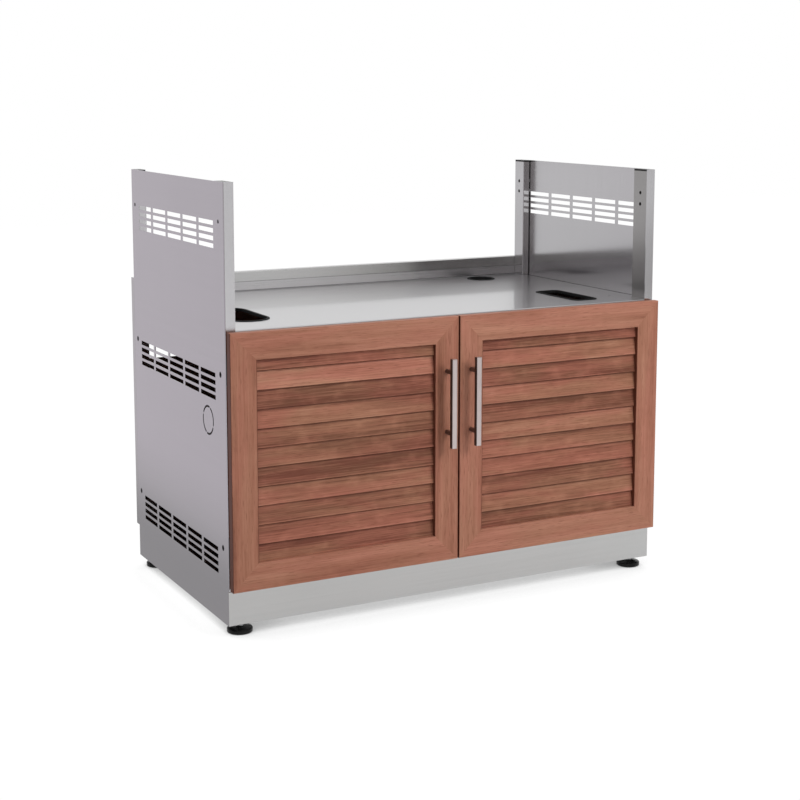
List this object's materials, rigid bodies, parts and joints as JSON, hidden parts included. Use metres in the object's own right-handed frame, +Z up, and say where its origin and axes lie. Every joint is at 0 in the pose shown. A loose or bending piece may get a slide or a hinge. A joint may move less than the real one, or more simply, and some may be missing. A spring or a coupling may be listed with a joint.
{
  "type": "outdoor kitchen grill cabinet",
  "caption": "Base cabinet for a drop-in grill: folded steel carcass with tall vented sides and a sunk shelf, louvred wooden double doors with bar handles, and levelling feet.",
  "frame": {"origin": "on the floor, under the middle of the whole cabinet's box, handles and back panel included", "axes": "+X to the right seen from the front, +Y to the back, +Z up"},
  "size_m": [1.016, 0.624, 0.9],
  "materials": {
    "steel": "brushed stainless sheet",
    "plated_steel": "zinc-plated",
    "hardware": "plain bright steel",
    "handle": "satin",
    "wood": "satin reddish-brown wood grain",
    "rubber": "matt black",
    "black_plastic": "matt black"
  },
  "bodies": {
    "carcass": {"side_panel_left": "steel", "side_panel_right": "steel", "front_post_left": "steel", "front_post_right": "steel", "rear_post_left": "steel", "rear_post_right": "steel", "post_caps": "black_plastic", "grill_shelf": "steel", "shelf_supports": "plated_steel", "shelf_stiffeners": "plated_steel", "hole_edging_left": "rubber", "hole_edging_right": "rubber", "cable_grommet": "rubber", "back_panel": "steel", "back_panel_screws": "hardware", "floor_panel": "steel", "toe_kick": "steel", "rear_plinth": "steel", "foot_brackets": "plated_steel", "foot_nuts": "plated_steel", "magnetic_catch": "black_plastic", "catch_plates": "hardware", "hinge_frame_leaves_left": "hardware", "hinge_pins_left": "hardware", "hinge_frame_screws_left": "hardware", "hinge_frame_leaves_right": "hardware", "hinge_pins_right": "hardware", "hinge_frame_screws_right": "hardware"},
    "door_left": {"door_outer_stile_left": "wood", "door_inner_stile_left": "wood", "door_top_rail_left": "wood", "door_bottom_rail_left": "wood", "door_louvres_left": "wood", "handle_bar_left": "handle", "handle_posts_left": "handle", "handle_screws_left": "hardware", "hinge_door_leaves_left": "hardware", "hinge_door_screws_left": "hardware", "strike_plate_left": "hardware", "door_bumpers_left": "rubber"},
    "door_right": {"door_outer_stile_right": "wood", "door_inner_stile_right": "wood", "door_top_rail_right": "wood", "door_bottom_rail_right": "wood", "door_louvres_right": "wood", "handle_bar_right": "handle", "handle_posts_right": "handle", "handle_screws_right": "hardware", "hinge_door_leaves_right": "hardware", "hinge_door_screws_right": "hardware", "strike_plate_right": "hardware", "door_bumpers_right": "rubber"},
    "foot_front_left": {"foot_pad_front_left": "black_plastic", "foot_stem_front_left": "plated_steel"},
    "foot_front_right": {"foot_pad_front_right": "black_plastic", "foot_stem_front_right": "plated_steel"},
    "foot_rear_left": {"foot_pad_rear_left": "black_plastic", "foot_stem_rear_left": "plated_steel"},
    "foot_rear_right": {"foot_pad_rear_right": "black_plastic", "foot_stem_rear_right": "plated_steel"}
  },
  "joints": [
    {"name": "door_left_swing", "type": "hinge", "parent": "carcass", "child": "door_left", "pos_m": [-0.505, -0.259, 0.35375], "axis": [0, 0, -1], "range_deg": [0, 110]},
    {"name": "door_right_swing", "type": "hinge", "parent": "carcass", "child": "door_right", "pos_m": [0.505, -0.259, 0.35375], "axis": [0, 0, 1], "range_deg": [0, 110]},
    {"name": "foot_front_left_level", "type": "slide", "parent": "carcass", "child": "foot_front_left", "axis": [0, 0, -1], "range_m": [-0.006, 0.015]},
    {"name": "foot_front_right_level", "type": "slide", "parent": "carcass", "child": "foot_front_right", "axis": [0, 0, -1], "range_m": [-0.006, 0.015]},
    {"name": "foot_rear_left_level", "type": "slide", "parent": "carcass", "child": "foot_rear_left", "axis": [0, 0, -1], "range_m": [-0.006, 0.015]},
    {"name": "foot_rear_right_level", "type": "slide", "parent": "carcass", "child": "foot_rear_right", "axis": [0, 0, -1], "range_m": [-0.006, 0.015]}
  ]
}
